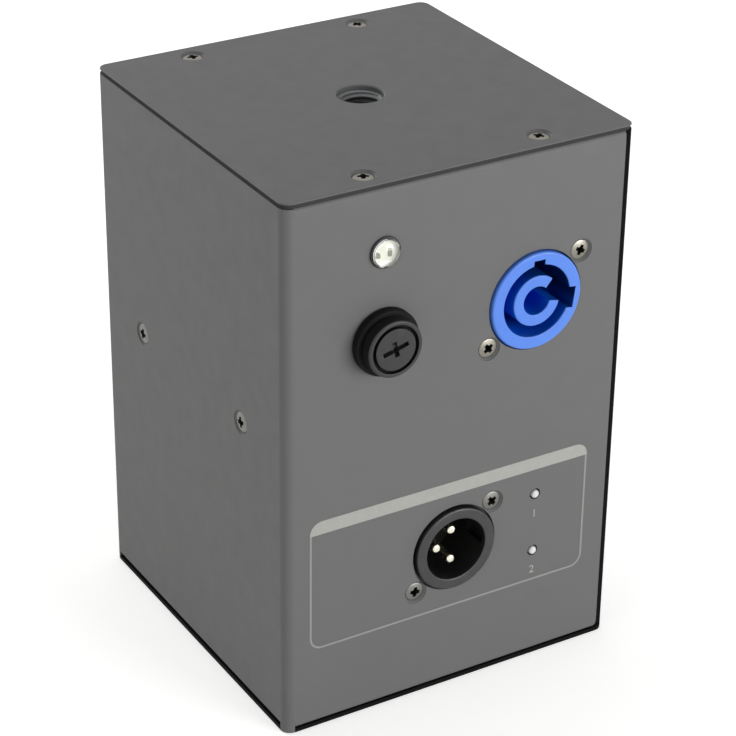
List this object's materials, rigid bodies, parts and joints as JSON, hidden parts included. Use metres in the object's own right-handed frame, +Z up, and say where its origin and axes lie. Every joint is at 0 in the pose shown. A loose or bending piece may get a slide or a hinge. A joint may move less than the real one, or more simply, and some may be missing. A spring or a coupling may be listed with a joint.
{
  "type": "dmx splitter",
  "caption": "Upright sheet-metal stage box that splits mains power and a lighting control signal, with a keyed mains inlet, fuse, pilot lamp and latching outlets.",
  "frame": {"origin": "middle of the underside of the base plate", "axes": "+X to the right as seen from the front, +Y towards the back panel, +Z up"},
  "size_m": [0.09, 0.0981, 0.135],
  "materials": {
    "grey_powder_coat": "satin anthracite powder coat",
    "black_powder_coat": "satin black powder coat",
    "zinc_steel": "bright zinc plate",
    "blue_plastic": "moulded",
    "grey_plastic": "moulded",
    "black_plastic": "moulded",
    "black_metal": "black chromated die casting",
    "silver_plate": "bright silver plate",
    "clear_plastic": "clear moulded lens",
    "board_green": "solder mask",
    "fuse_glass": "clear glass with plated end caps"
  },
  "bodies": {
    "housing": {"body_shell": "grey_powder_coat", "top_plate": "grey_powder_coat", "base_plate": "black_powder_coat", "suspension_bush": "zinc_steel", "partition_shelf": "zinc_steel", "supply_board": "board_green", "supply_module": "black_plastic", "top_screw_1": "zinc_steel", "base_screw_1": "zinc_steel", "side_screw_1": "zinc_steel", "top_screw_2": "zinc_steel", "base_screw_2": "zinc_steel", "side_screw_2": "zinc_steel", "top_screw_3": "zinc_steel", "base_screw_3": "zinc_steel", "side_screw_3": "zinc_steel", "top_screw_4": "zinc_steel", "base_screw_4": "zinc_steel", "side_screw_4": "zinc_steel", "power_inlet": "blue_plastic", "power_inlet_contact_1": "silver_plate", "power_inlet_contact_2": "silver_plate", "power_inlet_contact_3": "silver_plate", "power_inlet_screw_1": "zinc_steel", "power_inlet_screw_2": "zinc_steel", "fuse_holder": "black_plastic", "fuse_holder_nut": "black_plastic", "fuse_holder_contact": "silver_plate", "pilot_bezel": "black_plastic", "pilot_lens": "clear_plastic", "signal_inlet": "black_metal", "signal_inlet_insert": "black_plastic", "signal_inlet_pin_1": "silver_plate", "signal_inlet_pin_2": "silver_plate", "signal_inlet_pin_3": "silver_plate", "signal_inlet_screw_1": "zinc_steel", "signal_inlet_screw_2": "zinc_steel", "signal_board": "board_green", "status_light_1": "clear_plastic", "status_light_2": "clear_plastic", "power_outlet_1": "grey_plastic", "power_outlet_1_screw_1": "zinc_steel", "power_outlet_1_screw_2": "zinc_steel", "power_outlet_2": "grey_plastic", "power_outlet_2_screw_1": "zinc_steel", "power_outlet_2_screw_2": "zinc_steel", "signal_outlet_1": "black_metal", "signal_outlet_1_insert": "black_plastic", "signal_outlet_1_screw_1": "zinc_steel", "signal_outlet_1_screw_2": "zinc_steel", "signal_outlet_2": "black_metal", "signal_outlet_2_insert": "black_plastic", "signal_outlet_2_screw_1": "zinc_steel", "signal_outlet_2_screw_2": "zinc_steel"},
    "fuse_drawer": {"fuse_carrier": "black_plastic", "fuse_link": "fuse_glass"},
    "fuse_cap": {"fuse_cap": "black_plastic"},
    "latch_1": {"signal_outlet_1_latch": "zinc_steel"},
    "latch_2": {"signal_outlet_2_latch": "zinc_steel"}
  },
  "joints": [
    {"name": "fuse_draw", "type": "slide", "parent": "housing", "child": "fuse_drawer", "axis": [0, -1, 0], "range_m": [0, 0.03]},
    {"name": "fuse_cap_turn", "type": "hinge", "parent": "fuse_drawer", "child": "fuse_cap", "pos_m": [-0.02012, -0.045, 0.0973], "axis": [0, -1, 0], "range_deg": [0, 90]},
    {"name": "latch_1_press", "type": "slide", "parent": "housing", "child": "latch_1", "axis": [0, -1, 0], "range_m": [0, 0.0014], "stiffness_N_per_m": 1500},
    {"name": "latch_2_press", "type": "slide", "parent": "housing", "child": "latch_2", "axis": [0, -1, 0], "range_m": [0, 0.0014], "stiffness_N_per_m": 1500}
  ]
}
